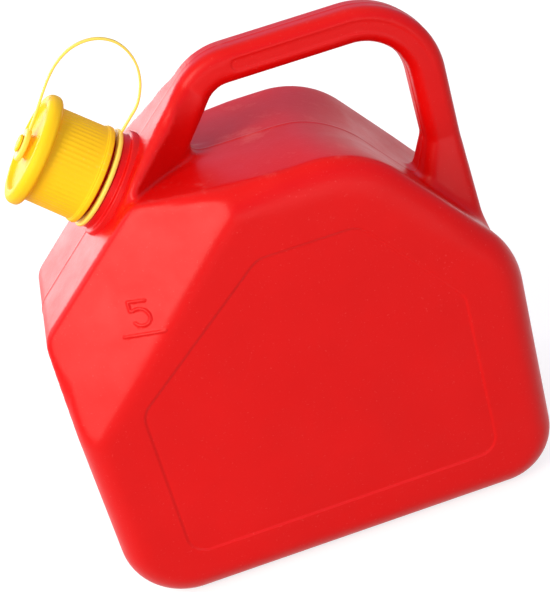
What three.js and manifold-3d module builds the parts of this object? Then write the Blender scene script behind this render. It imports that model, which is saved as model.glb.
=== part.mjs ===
// A five litre fuel can: a hollow moulded body with a carrying handle and a threaded neck, and a
// screw cap that a strap keeps with the can. Millimetres, Z up. X runs along the can with the neck
// at -X, and Y runs across it. The origin is on the floor, under the middle of the can.
import * as THREE from "three";
import { ConvexGeometry } from "three/addons/geometries/ConvexGeometry.js";
import { mergeVertices } from "three/addons/utils/BufferGeometryUtils.js";
import Module from "manifold-3d";

const wasm = await Module();
wasm.setup();

// Tank
const BODY_LENGTH = 230; // from end to end
const BODY_WIDTH = 138; // across the two broad faces, at the floor
const SHOULDER_HEIGHT = 205; // from the floor to the flat top of the tank
const SIDE_LEAN = 1.6; // degrees that each broad face leans in
const WALL = 2.2; // thickness of the moulded shell
const EDGE_ROUND = 14; // radius along the tank's edges
const BASE_CORNER_ROUND = 34; // radius of the lower corners, seen from the side
const REAR_SLOPE = 50.5; // degrees that the rear shoulder falls
const REAR_SHOULDER_RUN = 63.5; // from the rear end to where that fall starts
const REAR_SHOULDER_ROUND = 50; // radius where the top turns into the fall
const REAR_CORNER_ROUND = 45; // radius where the fall turns into the rear end
const SPOUT_SLOPE = 42; // degrees of the slope that carries the neck
const FACET_LOW = 93; // height where a side facet meets the spout end
const FACET_REACH = 113; // from the spout end to the facet's end on the top
const SLOPE_TOP_WIDTH = 82; // across the slope between the facets, at the top

// Handle
const HANDLE_HEIGHT = 47.8; // from the tank's top to the handle's top
const HANDLE_EDGE = 5.6; // radius along the edges of its bar
const GRIP_HEIGHT = 17; // the grip's section, up and down
const GRIP_DEPTH = 22.4; // the grip's section, across
const FRONT_BEND = 28; // radius from the front leg to the grip, along the middle of the bar
const REAR_BEND = 34.5; // and from the grip to the rear leg
const REAR_LEG_INSET = 4.5; // the rear leg's outer side from the rear end, at the bend
const REAR_FOOT_INSET = 1.2; // and at its foot
const REAR_FLARE_WIDTH = 45; // across the rear leg's foot, inside the tank
const REAR_FLARE_HEIGHT = 62; // how far up that leg the widening starts
const REAR_TOE_REACH = 23; // how far forward the leg widens from there to its foot
const LEG_SLOPE = 44.5; // degrees of the front leg's outer side
const LEG_FOOT_WIDTH = 120; // across the outer side at the neck's axis, before its edges are rounded
const LEG_FOOT_THICK = 24; // from the outer side to the finger side there
const LEG_TOP_THICK = 21; // and where the bend starts
const LEG_SPREAD = 1.5; // how quickly the spread of that foot eases off on the way up

// Neck, measured along its own axis from the slope
const NECK_FROM_END = 55; // from the spout end to where the axis meets the slope
const NECK_BELOW_TOP = 3.4; // that point's depth below the tank's top
const NECK_TILT = 46.5; // degrees of the axis from upright
const NECK_BORE = 36; // diameter of the mouth
const NECK_WALL = 2;
const NECK_HEIGHT = 23;
const COLLAR_DIAMETER = 54; // the step where the neck leaves the slope
const COLLAR_HEIGHT = 4;
const SEAT_DIAMETER = 49; // the upper step, under the strap's ring
const SEAT_HEIGHT = 7.5;
const BEAD_HEIGHT = 0.9; // the bead that keeps the strap's ring down
const BEAD_WIDTH = 1.2;
const THREAD_PITCH = 4.5;
const THREAD_TURNS = 1.3;
const THREAD_DEPTH = 1.4;
const THREAD_WIDTH = 1.7; // along the axis, at the root

// Cap
const SKIRT_DIAMETER = 47; // over the ribs, at the flange
const SKIRT_DRAFT = 1.0; // how much wider the skirt is at its rim
const CAP_WALL = 1.6;
const CAP_HEIGHT = 34.5; // from its rim to the top of its flange
const FLANGE_DIAMETER = 55.4;
const FLANGE_HEIGHT = 7;
const RIM_BEAD = 0.9; // how far the bead at the rim stands out
const RIM_BEAD_HEIGHT = 3.2;
const RIB_COUNT = 60;
const RIB_DEPTH = 0.5;
const CROWN_THICK = 2.6; // the plate that closes the cap
const DISH_DEPTH = 2; // from the top of the flange to the crown
const POST_DIAMETER = 11; // the post on the crown
const STUD_DIAMETER = 6.4; // the thinner end that the eye turns on
const STUD_HEAD_DIAMETER = 9;
const STUD_HEAD_HEIGHT = 1.2;

// Seal and strap
const GASKET_THICK = 1.8;
const EYE_DIAMETER = 16.4;
const EYE_THICK = 2.4;
const EYE_RISE = 0.7; // its underside over the top of the flange
const RING_DIAMETER = 50.8;
const RING_THICK = 2;
const STRAP_WIDTH = 4;
const STRAP_THICK = 1.5;
const STRAP_REACH = 38.8; // how far the loop stands out past the ring
const STRAP_CREST = 51.2; // the loop's greatest height over the slope
const STRAP_SAG = 0.8; // how far the strap dips on its way out from the ring

// Fits
const GAP = 0.3; // between pieces that touch
const RUNNING = 0.4; // between pieces that turn on each other

const RED = 0xd81a14;
const YELLOW = 0xf6c81c;
const BLACK = 0x1d1d1f;
const ROUND_STEPS = 4; // facets to a rounded tank edge
const TURN_STEPS = 72; // facets round the neck

const rad = THREE.MathUtils.degToRad;
const v3 = (x, y, z) => new THREE.Vector3(x, y, z);

// The end of the neck's axis on the slope, and the turn that lays a part's own Z along that axis.
const NECK_FOOT = v3(-BODY_LENGTH / 2 + NECK_FROM_END, 0, SHOULDER_HEIGHT - NECK_BELOW_TOP);
const NECK_PLACE = new THREE.Matrix4().makeRotationY(-rad(NECK_TILT)).setPosition(NECK_FOOT);

// Levels along the neck's axis.
const NECK_RADIUS = NECK_BORE / 2 + NECK_WALL;
const THREAD_RADIUS = NECK_RADIUS + THREAD_DEPTH;
const BEAD_RADIUS = NECK_RADIUS + BEAD_HEIGHT;
const RING_LEVEL = SEAT_HEIGHT + RUNNING;
const BEAD_LEVEL = RING_LEVEL + RING_THICK + RUNNING;
const CAP_LEVEL = BEAD_LEVEL + BEAD_WIDTH + RUNNING;
const CAP_TOP = CAP_LEVEL + CAP_HEIGHT;
const GASKET_LEVEL = NECK_HEIGHT + GAP;
const CAP_STEP = GASKET_LEVEL + GASKET_THICK + GAP;
const CROWN_TOP = CAP_TOP - DISH_DEPTH;
const CAP_BORE = THREAD_RADIUS + RUNNING;
const EYE_LEVEL = CAP_TOP + EYE_RISE;
const EYE_TOP = EYE_LEVEL + EYE_THICK;

// A closed geometry as a solid. Points closer than a thousandth become one, and the flat
// triangles that this leaves are dropped.
function solid(geometry) {
  const bare = new THREE.BufferGeometry();
  bare.setAttribute("position", geometry.getAttribute("position"));
  bare.setIndex(geometry.index);
  const merged = mergeVertices(bare, 1e-3);
  const all = merged.index.array;
  const kept = [];
  for (let i = 0; i < all.length; i += 3) {
    const [a, b, c] = [all[i], all[i + 1], all[i + 2]];
    if (a !== b && b !== c && c !== a) kept.push(a, b, c);
  }
  const vertProperties = new Float32Array(merged.getAttribute("position").array);
  return new wasm.Manifold(
    new wasm.Mesh({ numProp: 3, vertProperties, triVerts: new Uint32Array(kept) }),
  );
}

const hull = (points) => solid(new ConvexGeometry(points));
const joined = (solids) => solids.reduce((sum, next) => sum.add(next));

// A surface given as rings of points, closed round each ring and capped by joining the last ring
// to the first, or by a point at each end.
function skin(rings, ends) {
  const n = rings[0].length;
  const points = rings.flat();
  const index = [];
  const quad = (a, b, c, d) => index.push(a, b, c, a, c, d);
  const last = ends ? rings.length - 1 : rings.length;
  for (let i = 0; i < last; i++) {
    const lower = i * n;
    const upper = ((i + 1) % rings.length) * n;
    for (let k = 0; k < n; k++) {
      const next = (k + 1) % n;
      quad(lower + k, lower + next, upper + next, upper + k);
    }
  }
  if (ends) {
    const top = (rings.length - 1) * n;
    for (let k = 1; k + 1 < n; k++) {
      index.push(0, k + 1, k);
      index.push(top, top + k, top + k + 1);
    }
  }
  const geometry = new THREE.BufferGeometry().setFromPoints(points);
  geometry.setIndex(index);
  return solid(geometry);
}

// A closed outline of [radius, height] pairs turned about Z. It runs anticlockwise as seen with
// the radius to the right, and a third value, where given, is the depth of ribs cut at that point.
function turned(outline, steps = TURN_STEPS) {
  const rings = outline.map(([r, z, rib = 0]) =>
    Array.from({ length: steps }, (_, k) => {
      const angle = (2 * Math.PI * k) / steps;
      const radius = Math.max(r - (k % 2 ? rib : 0), 0);
      return v3(radius * Math.cos(angle), radius * Math.sin(angle), z);
    }),
  );
  return skin(rings, false);
}

const cylinder = (radius, from, to) =>
  turned([[0, from], [radius, from], [radius, to], [0, to]]);

// Points of an arc in an outline, from one angle to another in degrees, about [r, z].
function arc(r, z, radius, from, to, steps = 5) {
  return Array.from({ length: steps + 1 }, (_, i) => {
    const angle = rad(from + ((to - from) * i) / steps);
    return [r + radius * Math.cos(angle), z + radius * Math.sin(angle)];
  });
}

// A tapered ridge wound about Z. Its root lies on one radius and its crest on another.
function ridge(root, crest, rootWidth, from, turns) {
  const steps = Math.round(turns * 36);
  const rings = [];
  for (let i = 0; i <= steps; i++) {
    const angle = (2 * Math.PI * turns * i) / steps;
    const z = from + THREAD_PITCH * turns * (i / steps);
    const fade = Math.min(1, i / 4, (steps - i) / 4);
    const tip = root + (crest - root) * (0.15 + 0.85 * fade);
    const at = (r, h) => v3(r * Math.cos(angle), r * Math.sin(angle), z + h);
    const section = [at(root, -rootWidth / 2), at(tip, -rootWidth / 5),
      at(tip, rootWidth / 5), at(root, rootWidth / 2)];
    rings.push(crest > root ? section : section.reverse());
  }
  return skin(rings, true);
}

// The tank's flat sides: each keeps the points p with normal . p <= reach.
function tankSides() {
  const side = (normal, through) => ({ normal, reach: normal.dot(through) });
  const halfLength = BODY_LENGTH / 2;
  const halfWidth = BODY_WIDTH / 2;
  const lean = rad(SIDE_LEAN);
  const fall = rad(REAR_SLOPE);
  const climb = rad(SPOUT_SLOPE);
  const floor = side(v3(0, 0, -1), v3(0, 0, 0));
  const top = side(v3(0, 0, 1), v3(0, 0, SHOULDER_HEIGHT));
  const rear = side(v3(1, 0, 0), v3(halfLength, 0, 0));
  const spout = side(v3(-1, 0, 0), v3(-halfLength, 0, 0));
  const rearFall = side(v3(Math.sin(fall), 0, Math.cos(fall)),
    v3(halfLength - REAR_SHOULDER_RUN, 0, SHOULDER_HEIGHT));
  const slope = side(v3(-Math.sin(climb), 0, Math.cos(climb)), NECK_FOOT);
  const slopeTopX = NECK_FOOT.x + NECK_BELOW_TOP / Math.tan(climb);
  const sides = [floor, top, rear, spout, rearFall, slope];
  for (const y of [-1, 1]) {
    const face = side(v3(0, y * Math.cos(lean), Math.sin(lean)), v3(0, y * halfWidth, 0));
    const onFace = (x, z) => v3(x, y * (halfWidth - z * Math.tan(lean)), z);
    const low = onFace(-halfLength, FACET_LOW);
    const high = onFace(FACET_REACH - halfLength, SHOULDER_HEIGHT);
    const inner = v3(slopeTopX, (y * SLOPE_TOP_WIDTH) / 2, SHOULDER_HEIGHT);
    const normal = high.clone().sub(low).cross(inner.clone().sub(low)).normalize();
    sides.push(face, side(normal.multiplyScalar(Math.sign(normal.y) * y), low));
  }
  return sides.concat(
    softCorner(spout, floor, BASE_CORNER_ROUND),
    softCorner(rear, floor, BASE_CORNER_ROUND),
    softCorner(top, rearFall, REAR_SHOULDER_ROUND),
    softCorner(rearFall, rear, REAR_CORNER_ROUND),
  );
}

// Extra sides, tangent to a round of the given radius between two sides that run across the can.
function softCorner(one, two, radius, count = 3) {
  const [a, b] = [one.normal, two.normal];
  const det = a.x * b.z - a.z * b.x;
  const [p, q] = [one.reach - radius, two.reach - radius];
  const centre = v3((p * b.z - q * a.z) / det, 0, (a.x * q - b.x * p) / det);
  return Array.from({ length: count }, (_, i) => {
    const share = (i + 1) / (count + 1);
    const normal = a.clone().multiplyScalar(1 - share).addScaledVector(b, share).normalize();
    return { normal, reach: normal.dot(centre) + radius };
  });
}

// The solid between flat sides with all its edges rounded. The sides are set in by the inset, and
// a part of a ball then stands on each corner that is left.
function roundedSolid(sides, inset, radius) {
  const points = [];
  const cross = new THREE.Vector3();
  for (let i = 0; i < sides.length; i++)
    for (let j = i + 1; j < sides.length; j++)
      for (let k = j + 1; k < sides.length; k++) {
        const [a, b, c] = [sides[i], sides[j], sides[k]];
        const det = a.normal.dot(cross.crossVectors(b.normal, c.normal));
        if (Math.abs(det) < 1e-4) continue;
        const corner = v3(0, 0, 0);
        for (const [s, m, n] of [[a, b, c], [b, c, a], [c, a, b]])
          corner.addScaledVector(cross.crossVectors(m.normal, n.normal), (s.reach - inset) / det);
        if (sides.some((s) => s.normal.dot(corner) > s.reach - inset + 1e-6)) continue;
        for (let u = 0; u <= ROUND_STEPS; u++)
          for (let v = 0; u + v <= ROUND_STEPS; v++)
            points.push(v3(0, 0, 0)
              .addScaledVector(a.normal, u)
              .addScaledVector(b.normal, v)
              .addScaledVector(c.normal, ROUND_STEPS - u - v)
              .normalize().multiplyScalar(radius).add(corner));
      }
  return hull(points);
}

// A ring round the handle's bar with its edges rounded, set in by the given amount. The turn is the
// direction of the bar's outer side, and half of its height lies to each side of [x, z]. The bar's
// sides lean where its outer and finger sides differ in width.
function barRing(inset, x, z, turn, height, outerWidth, innerWidth = outerWidth) {
  const lean = Math.atan((outerWidth - innerWidth) / 2 / height);
  const at = height / 2 - HANDLE_EDGE;
  const radius = HANDLE_EDGE - inset;
  const side = (u) => (outerWidth + innerWidth) / 4 + u * Math.tan(lean) - HANDLE_EDGE / Math.cos(lean);
  const tilt = THREE.MathUtils.radToDeg(lean);
  const outline = [
    ...arc(at, side(at), radius, 0, 90 + tilt), ...arc(-at, side(-at), radius, 90 + tilt, 180),
    ...arc(-at, -side(-at), radius, 180, 270 - tilt), ...arc(at, -side(at), radius, 270 - tilt, 360),
  ];
  return outline.map(([u, y]) => v3(x + u * Math.cos(turn), -y, z + u * Math.sin(turn)));
}

// The handle, its surface set in by the given amount: the broad front leg that also carries the
// neck, the grip between its two bends, and the rear leg that flares into the tank.
function handle(inset) {
  const halfLength = BODY_LENGTH / 2;
  const topZ = SHOULDER_HEIGHT + HANDLE_HEIGHT;
  const climb = rad(LEG_SLOPE);
  const outerBend = FRONT_BEND + GRIP_HEIGHT / 2;
  const legClimb = (topZ - NECK_FOOT.z) / Math.sin(climb) - outerBend * Math.tan(climb / 2);
  const rings = [];

  // The leg starts just over the neck's axis, so that its foot stays within the side facets.
  const legSteps = 9;
  for (let i = 0; i < legSteps; i++) {
    const share = 0.05 + (0.95 * i) / legSteps;
    const thick = LEG_FOOT_THICK + (LEG_TOP_THICK - LEG_FOOT_THICK) * share;
    const width = GRIP_DEPTH + (LEG_FOOT_WIDTH - GRIP_DEPTH) * (1 - share) ** LEG_SPREAD;
    const x = NECK_FOOT.x + legClimb * share * Math.cos(climb) + (thick / 2) * Math.sin(climb);
    const z = NECK_FOOT.z + legClimb * share * Math.sin(climb) - (thick / 2) * Math.cos(climb);
    rings.push(barRing(inset, x, z, Math.PI / 2 + climb, thick, width, GRIP_DEPTH));
  }

  const legTopX = NECK_FOOT.x + legClimb * Math.cos(climb);
  const frontX = legTopX + outerBend * Math.sin(climb);
  const rearX = halfLength - REAR_LEG_INSET - GRIP_HEIGHT / 2 - REAR_BEND;
  const bends = [
    [frontX, FRONT_BEND, Math.PI / 2 + climb, Math.PI / 2, LEG_TOP_THICK, 5],
    [rearX, REAR_BEND, Math.PI / 2, 0, GRIP_HEIGHT, 8],
  ];
  for (const [bendX, radius, from, to, firstHeight, steps] of bends) {
    const bendZ = topZ - GRIP_HEIGHT / 2 - radius;
    for (let i = 0; i <= steps; i++) {
      const turn = from + ((to - from) * i) / steps;
      const height = firstHeight + ((GRIP_HEIGHT - firstHeight) * i) / steps;
      const middle = radius + (GRIP_HEIGHT - height) / 2;
      const [x, z] = [bendX + middle * Math.cos(turn), bendZ + middle * Math.sin(turn)];
      rings.push(barRing(inset, x, z, turn, height, GRIP_DEPTH));
    }
  }

  // The rear leg leans back to its foot, and widens on the way.
  const footZ = SHOULDER_HEIGHT - REAR_SHOULDER_RUN * Math.tan(rad(REAR_SLOPE)) - EDGE_ROUND;
  const flareZ = footZ + REAR_FLARE_HEIGHT;
  const bendZ = topZ - GRIP_HEIGHT / 2 - REAR_BEND;
  const lean = ((REAR_LEG_INSET - REAR_FOOT_INSET) * (bendZ - flareZ)) / (bendZ - footZ);
  const flareX = halfLength - REAR_LEG_INSET + lean - GRIP_HEIGHT / 2;
  rings.push(barRing(inset, flareX, flareZ, 0, GRIP_HEIGHT, GRIP_DEPTH));
  const footHeight = GRIP_HEIGHT + REAR_TOE_REACH + REAR_LEG_INSET - REAR_FOOT_INSET - lean;
  const footX = halfLength - REAR_FOOT_INSET - footHeight / 2;
  rings.push(barRing(inset, footX, footZ, 0, footHeight, REAR_FLARE_WIDTH));
  return skin(rings, true);
}

// The neck's outside: two steps at its foot, the seat of the strap's ring with its bead, and the thread.
function neck() {
  const root = -WALL;
  const outline = [
    [0, root - WALL], [COLLAR_DIAMETER / 2, root - WALL],
    [COLLAR_DIAMETER / 2, COLLAR_HEIGHT - 1], [COLLAR_DIAMETER / 2 - 1, COLLAR_HEIGHT],
    [SEAT_DIAMETER / 2, COLLAR_HEIGHT], [SEAT_DIAMETER / 2, SEAT_HEIGHT - 0.6],
    [SEAT_DIAMETER / 2 - 0.6, SEAT_HEIGHT], [NECK_RADIUS, SEAT_HEIGHT],
    [NECK_RADIUS, BEAD_LEVEL], [BEAD_RADIUS, BEAD_LEVEL + BEAD_WIDTH / 3],
    [NECK_RADIUS, BEAD_LEVEL + BEAD_WIDTH],
    [NECK_RADIUS, NECK_HEIGHT - 0.6], [NECK_RADIUS - 0.6, NECK_HEIGHT], [0, NECK_HEIGHT],
  ];
  const run = THREAD_PITCH * THREAD_TURNS;
  const start = NECK_HEIGHT - THREAD_WIDTH - run;
  return turned(outline).add(ridge(NECK_RADIUS - 0.3, THREAD_RADIUS, THREAD_WIDTH, start, THREAD_TURNS));
}

// The moulded shell: tank, handle and neck with one space inside them all.
function canBody() {
  const sides = tankSides();
  const outside = joined([
    roundedSolid(sides, EDGE_ROUND, EDGE_ROUND), handle(0), neck().transform(NECK_PLACE.elements),
  ]);
  const bore = cylinder(NECK_BORE / 2, -WALL - EDGE_ROUND, NECK_HEIGHT + 1);
  const inside = joined([
    roundedSolid(sides, EDGE_ROUND, EDGE_ROUND - WALL), handle(WALL), bore.transform(NECK_PLACE.elements),
  ]);
  return outside.subtract(inside);
}

// The cap: a ribbed skirt with a bead at its rim, a step inside that presses the seal, a rounded
// flange, a crown just below the flange's top and, on the crown, a post whose headed stud holds the
// strap's eye.
function screwCap() {
  const rim = SKIRT_DIAMETER / 2 + SKIRT_DRAFT / 2;
  const skirt = SKIRT_DIAMETER / 2;
  const flangeR = FLANGE_HEIGHT / 2;
  const flangeZ = CAP_TOP - flangeR;
  const dish = skirt - 2 * CAP_WALL;
  const stud = STUD_DIAMETER / 2;
  const shoulder = EYE_LEVEL - GAP;
  const headZ = EYE_TOP + GAP;
  const ribsFrom = CAP_LEVEL + RIM_BEAD_HEIGHT + 0.8;
  const ribsTo = flangeZ - flangeR - 0.5;
  const outline = [
    [0, CROWN_TOP - CROWN_THICK], [NECK_BORE / 2, CROWN_TOP - CROWN_THICK], [NECK_BORE / 2, CAP_STEP],
    [CAP_BORE, CAP_STEP], [CAP_BORE, CAP_LEVEL],
    [rim + RIM_BEAD - 0.6, CAP_LEVEL], [rim + RIM_BEAD, CAP_LEVEL + 0.6],
    [rim + RIM_BEAD, CAP_LEVEL + RIM_BEAD_HEIGHT - 0.6], [rim, CAP_LEVEL + RIM_BEAD_HEIGHT],
    [rim, ribsFrom, RIB_DEPTH], [skirt, ribsTo, RIB_DEPTH], [skirt, ribsTo + 0.5],
    ...arc(FLANGE_DIAMETER / 2 - flangeR, flangeZ, flangeR, -80, 90, 7),
    [dish, CAP_TOP - 0.6 * DISH_DEPTH], [dish, CROWN_TOP],
    [POST_DIAMETER / 2, CROWN_TOP], [POST_DIAMETER / 2, shoulder],
    [stud, shoulder], [stud, headZ], [STUD_HEAD_DIAMETER / 2, headZ],
    [STUD_HEAD_DIAMETER / 2 - 0.6, headZ + STUD_HEAD_HEIGHT], [0, headZ + STUD_HEAD_HEIGHT],
  ];
  const run = THREAD_PITCH * THREAD_TURNS;
  const start = NECK_HEIGHT - THREAD_WIDTH - run - THREAD_PITCH / 2;
  const thread = ridge(CAP_BORE + 0.3, NECK_RADIUS + RUNNING, THREAD_WIDTH, start, THREAD_TURNS);
  return turned(outline, 2 * RIB_COUNT).add(thread).transform(NECK_PLACE.elements);
}

// A flat ring about the neck's axis.
const washer = (inner, outer, from, to) =>
  turned([[inner, from], [outer, from], [outer, to], [inner, to]]).transform(NECK_PLACE.elements);

const capGasket = () =>
  washer(NECK_BORE / 2 - 1, CAP_BORE - RUNNING, GASKET_LEVEL, GASKET_LEVEL + GASKET_THICK);
const tetherEye = () =>
  washer(STUD_DIAMETER / 2 + RUNNING, EYE_DIAMETER / 2, EYE_LEVEL, EYE_TOP);
const tetherRing = () =>
  washer(BEAD_RADIUS - BEAD_HEIGHT / 2, RING_DIAMETER / 2, RING_LEVEL, RING_LEVEL + RING_THICK);

// The strap's line in the plane of the neck's axis: [distance from the axis, height].
function strapLine() {
  const ringSide = RING_DIAMETER / 2 + GAP;
  const ringZ = RING_LEVEL + RING_THICK / 2;
  const eyeSide = EYE_DIAMETER / 2 + GAP;
  const eyeZ = EYE_LEVEL + EYE_THICK / 2;
  const far = RING_DIAMETER / 2 + STRAP_REACH;
  const rimR = FLANGE_DIAMETER / 2;
  const rise = STRAP_CREST - ringZ;
  return [
    [ringSide, ringZ], [ringSide + 7, ringZ - 0.6 * STRAP_SAG], [ringSide + 14, ringZ - STRAP_SAG],
    [far - 17.7, ringZ + 0.01 * rise], [far - 10.8, ringZ + 0.085 * rise], [far - 4.9, ringZ + 0.205 * rise],
    [far - 1.2, ringZ + 0.36 * rise], [far, ringZ + 0.52 * rise], [far - 1.8, ringZ + 0.69 * rise],
    [far - 6.2, ringZ + 0.83 * rise], [far - 12.7, ringZ + 0.935 * rise], [far - 20.7, ringZ + 0.99 * rise],
    [rimR + 7.8, STRAP_CREST], [rimR, STRAP_CREST - 0.6], [rimR - FLANGE_HEIGHT, STRAP_CREST - 1.5],
    [eyeSide + 5, eyeZ + 0.5], [eyeSide, eyeZ],
  ];
}

function tetherStrap() {
  const path = new THREE.CatmullRomCurve3(strapLine().map(([r, z]) => v3(r, 0, z)), false, "centripetal");
  const steps = 64;
  const rings = [];
  for (let i = 0; i <= steps; i++) {
    const at = path.getPointAt(i / steps);
    const along = path.getTangentAt(i / steps);
    const out = v3(-along.z, 0, along.x).multiplyScalar(STRAP_THICK / 2);
    const across = v3(0, STRAP_WIDTH / 2, 0);
    rings.push([[1, 1], [1, -1], [-1, -1], [-1, 1]].map(([o, c]) =>
      at.clone().addScaledVector(out, o).addScaledVector(across, c)));
  }
  return skin(rings, true).transform(NECK_PLACE.elements);
}

function piece(name, made, color, roughness) {
  const { vertProperties, triVerts } = made.getMesh();
  const geometry = new THREE.BufferGeometry();
  geometry.setAttribute("position", new THREE.BufferAttribute(vertProperties, 3));
  geometry.setIndex(new THREE.BufferAttribute(triVerts, 1));
  geometry.computeVertexNormals();
  const mesh = new THREE.Mesh(geometry, new THREE.MeshStandardMaterial({ color, roughness }));
  mesh.name = name;
  return mesh;
}

const can = new THREE.Group();
can.add(
  piece("can_body", canBody(), RED, 0.45),
  piece("screw_cap", screwCap(), YELLOW, 0.5),
  piece("cap_gasket", capGasket(), BLACK, 0.8),
  piece("tether_eye", tetherEye(), YELLOW, 0.5),
  piece("tether_strap", tetherStrap(), YELLOW, 0.5),
  piece("tether_ring", tetherRing(), YELLOW, 0.5),
);

export default can;
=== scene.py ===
"""The looks of a five litre fuel can: the moulded red can with its handle and neck, the ribbed yellow
screw cap, and the strap that keeps the cap with the can. Shapes are worked out in millimetres, in the
frame's axes, and go into metres where a mesh is made."""
import math

import bmesh
import bpy
import numpy as np
import openvdb
from mathutils import Matrix, Vector


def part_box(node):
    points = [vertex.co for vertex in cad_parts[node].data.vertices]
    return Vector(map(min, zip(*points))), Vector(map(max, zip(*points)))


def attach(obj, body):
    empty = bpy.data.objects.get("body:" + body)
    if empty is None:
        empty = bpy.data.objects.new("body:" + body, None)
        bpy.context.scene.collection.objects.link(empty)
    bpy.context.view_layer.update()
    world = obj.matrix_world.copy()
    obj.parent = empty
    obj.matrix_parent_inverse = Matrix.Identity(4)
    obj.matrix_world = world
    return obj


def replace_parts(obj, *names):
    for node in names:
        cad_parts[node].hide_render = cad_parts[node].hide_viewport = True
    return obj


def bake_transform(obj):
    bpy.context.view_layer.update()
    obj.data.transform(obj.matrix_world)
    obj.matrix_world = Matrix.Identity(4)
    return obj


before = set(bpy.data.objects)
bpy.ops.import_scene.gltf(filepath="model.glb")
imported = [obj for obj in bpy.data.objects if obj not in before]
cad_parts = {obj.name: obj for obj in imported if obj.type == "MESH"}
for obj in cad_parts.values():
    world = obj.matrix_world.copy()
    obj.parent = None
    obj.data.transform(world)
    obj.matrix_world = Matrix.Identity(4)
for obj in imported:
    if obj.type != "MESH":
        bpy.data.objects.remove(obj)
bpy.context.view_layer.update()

MM = 0.001  # metres in a millimetre

# Tank
BODY_LENGTH = 230
BODY_WIDTH = 138
SHOULDER_HEIGHT = 205
SIDE_LEAN = 1.6  # degrees that each broad face leans in
EDGE_ROUND = 14
CREST_IN = 8  # the round along the top and the fall: how far it reaches in
CREST_DOWN = 18  # and how far down the broad face
SLOPE_EDGE_ROUND = 4  # where a side facet meets the slope
BASE_CORNER_ROUND = 34
REAR_BASE_ROUND = 29
REAR_SLOPE = 50.5  # degrees that the rear shoulder falls
REAR_SHOULDER_RUN = 63.5
REAR_SHOULDER_ROUND = 50
REAR_CORNER_ROUND = 45
SPOUT_SLOPE = 42  # degrees of the slope that carries the neck
FACET_LOW = 93  # height where a side facet meets the spout end
FACET_REACH = 113  # from the spout end to the facet's end on the top
SLOPE_TOP_WIDTH = 82
FALL_DISH = 4  # how far the rear fall sinks between its crests
FALL_DISH_HALF = 56  # from the middle to those crests
FALL_EASE_X = (20, 62)  # where the dish sets in along the top
FALL_EASE_Z = (110, 150)  # and on the way up the fall
CREST_EASE_X = (-18, 14)  # the same for the round of the crests
CREST_EASE_Z = (125, 165)
FACET_EASE_Y = (42, 58)  # from the middle to where the facet's edge has the tank's full round
FACET_COSINES = (-0.5, 0.97)  # limits on the cosine of the angle between a facet and the tank's sides

# Handle
HANDLE_HEIGHT = 47.8
HANDLE_EDGE = 5.6  # radius along its edges
GRIP_HEIGHT = 17  # the grip's section, up and down
GRIP_HALF_DEPTH = 11.2  # half of it across
FRONT_BEND = 36.5  # the outer side's radius from the front leg to the grip
FRONT_HOLE_BEND = 14  # and the finger side's
REAR_BEND = 43  # the same from the grip to the rear leg
REAR_HOLE_BEND = 26
REAR_LEG_INSET = 4.5  # the rear leg's outer side from the rear end, at the bend
REAR_FOOT_INSET = 2  # and at its foot
FLARE_HALF_FOOT = 22.5  # half the rear leg's width at its foot, inside the tank
FLARE_HEIGHT = 62  # how far up that leg the widening starts
FLARE_TOE = 23  # how far forward the leg widens from there to its foot
LEG_SLOPE = 41  # degrees of the front leg's outer side
LEG_RISE = 3  # how far that side stands out from the neck's foot, on the neck's axis
LEG_KNEE = 13  # from the neck's axis up to where that side starts to fall to the slope
LEG_KNEE_ROUND = 30
LEG_BEVEL = 5  # width of the slant along the leg's outer edges, on each side of the edge
BEVEL_EDGE = 1  # radius beside that slant
BEVEL_ONSET = (0, 0.35)  # the share of the leg's length, down from the bend, over which the slant sets in
BEVEL_END = (0.35, 0.65)  # the share of its thickness over which the slant gives way to a round edge
FLANK_TURN = (0.2, 0.8)  # and over which its flank goes from the outer edge's angle to the finger side's
LEG_HALF_FOOT = 46  # half the outer side's width at the neck's axis, before its edges are rounded
LEG_WIDEST = 41  # and the most that it comes to
LEG_FOOT_THICK = 26.5  # from the outer side to the finger side there
LEG_TOP_THICK = 17.3  # and where the bend starts
LEG_START = -4  # from the neck's axis to the leg's end inside the tank

# How far one form runs into the next
LEG_CREASE = 3  # along the foot of the front leg's flanks
LEG_CORNER = 13  # in the finger hole
LEG_CORNER_Y = (6, 14)  # from the middle to where that gives way to the crease
LEG_CORNER_X = (-40, -24)  # the x over which it sets in
BEVEL_MELT = 1.2  # from the leg's sides into the slant between them
FLARE_MELT = 6  # round the foot of the rear leg
FLARE_FROM = 30  # the x from which the rear leg's value holds
NECK_MELT = 4  # from the neck's uphill side into the front leg
NECK_CREASE = 0.5  # and all round its foot
NECK_MELT_UPHILL = (8, 22)  # how far uphill of the neck's axis the first of the two sets in

# Neck, measured along its own axis from the slope
NECK_FOOT = (-60, 0, 201.6)
NECK_TILT = 46.5  # degrees of the axis from upright
NECK_BORE = 36
NECK_SUNK = 9  # how far its piece reaches in under the slope
NECK_INSET = 0.4  # how far the shell's own step stays inside that piece
NECK_RADIUS = 20
NECK_HEIGHT = 23
COLLAR_RADIUS = 27
COLLAR_HEIGHT = 4
SEAT_RADIUS = 24.5
SEAT_HEIGHT = 7.5
BEAD_LEVEL = 10.3
BEAD_WIDTH = 1.2
BEAD_HEIGHT = 0.9
THREAD_PITCH = 4.5
THREAD_TURNS = 1.3
THREAD_DEPTH = 1.4
THREAD_WIDTH = 1.7
THREAD_STEPS = 72  # points in a turn
THREAD_FADE_STEPS = 8  # points over which each end fades
THREAD_LEAST = 0.05  # share of the depth at the very ends

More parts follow.
